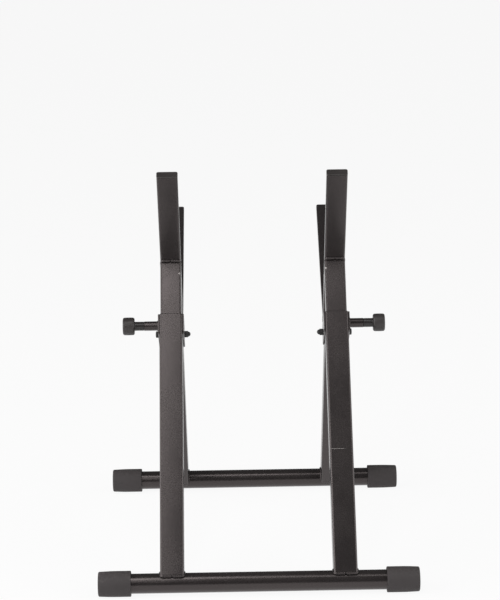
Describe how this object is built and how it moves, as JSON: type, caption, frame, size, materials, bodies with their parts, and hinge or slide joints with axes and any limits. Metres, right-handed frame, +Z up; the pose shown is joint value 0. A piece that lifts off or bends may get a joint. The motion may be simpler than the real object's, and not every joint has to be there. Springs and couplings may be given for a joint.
{
  "type": "folding amplifier stand",
  "caption": "Folding tilt-back amplifier stand: hinged square legs on round floor tubes, and a pair of L-shaped cradles on sliding posts locked by pull pins.",
  "frame": {"origin": "on the floor, at the middle of the stand's overall width and overall depth", "axes": "+Y forwards, the way the amplifier faces; +X across the stand, to the right as seen from behind; +Z up"},
  "size_m": [0.51, 0.6694, 0.6365],
  "materials": {
    "steel_black": "black powder coat, satin",
    "rubber_black": "matte moulded rubber",
    "plastic_black": "moulded, fine texture",
    "fastener_black": "black zinc",
    "nylon_natural": "natural nylon",
    "steel_bright": "plain turned steel"
  },
  "bodies": {
    "rear_frame": {"rear_floor_tube": "steel_black", "rear_end_cap_left": "rubber_black", "rear_end_cap_right": "rubber_black", "rear_leg_left": "steel_black", "rear_leg_right": "steel_black", "hinge_plate_outer_left": "steel_black", "hinge_plate_inner_left": "steel_black", "hinge_plate_outer_right": "steel_black", "hinge_plate_inner_right": "steel_black", "pivot_bolt_left": "fastener_black", "pivot_bolt_right": "fastener_black", "pivot_nut_left": "fastener_black", "pivot_nut_right": "fastener_black", "bolt_washer_left": "fastener_black", "bolt_washer_right": "fastener_black", "nylon_washers_left": "nylon_natural", "nylon_washers_right": "nylon_natural", "plunger_barrel_left": "steel_black", "plunger_barrel_right": "steel_black", "plunger_spring_left": "steel_bright", "plunger_spring_right": "steel_bright"},
    "front_frame": {"front_floor_tube": "steel_black", "front_end_cap_left": "rubber_black", "front_end_cap_right": "rubber_black", "front_leg_left": "steel_black", "front_leg_right": "steel_black", "pivot_sleeve_left": "steel_bright", "pivot_sleeve_right": "steel_bright"},
    "left_cradle": {"post_left": "steel_black", "post_glide_left": "plastic_black", "upright_left": "steel_black", "upright_plug_left": "plastic_black", "seat_arm_left": "steel_black", "seat_arm_plug_left": "plastic_black"},
    "right_cradle": {"post_right": "steel_black", "post_glide_right": "plastic_black", "upright_right": "steel_black", "upright_plug_right": "plastic_black", "seat_arm_right": "steel_black", "seat_arm_plug_right": "plastic_black"},
    "left_plunger": {"pull_pin_left": "steel_bright", "pull_knob_left": "plastic_black"},
    "right_plunger": {"pull_pin_right": "steel_bright", "pull_knob_right": "plastic_black"}
  },
  "joints": [
    {"name": "fold", "type": "hinge", "parent": "rear_frame", "child": "front_frame", "pos_m": [0, -0.0184, 0.34521], "axis": [-1, 0, 0], "range_deg": [0, 65]},
    {"name": "left_height", "type": "slide", "parent": "rear_frame", "child": "left_cradle", "axis": [0, 0.6025, 0.7981], "range_m": [-0.05, 0.075]},
    {"name": "right_height", "type": "slide", "parent": "rear_frame", "child": "right_cradle", "axis": [0, 0.6025, 0.7981], "range_m": [-0.05, 0.075]},
    {"name": "left_pull", "type": "slide", "parent": "rear_frame", "child": "left_plunger", "axis": [-1, 0, 0], "range_m": [0, 0.009], "stiffness_N_per_m": 600, "deforming": ["plunger_spring_left"]},
    {"name": "right_pull", "type": "slide", "parent": "rear_frame", "child": "right_plunger", "axis": [1, 0, 0], "range_m": [0, 0.009], "stiffness_N_per_m": 600, "deforming": ["plunger_spring_right"]}
  ]
}
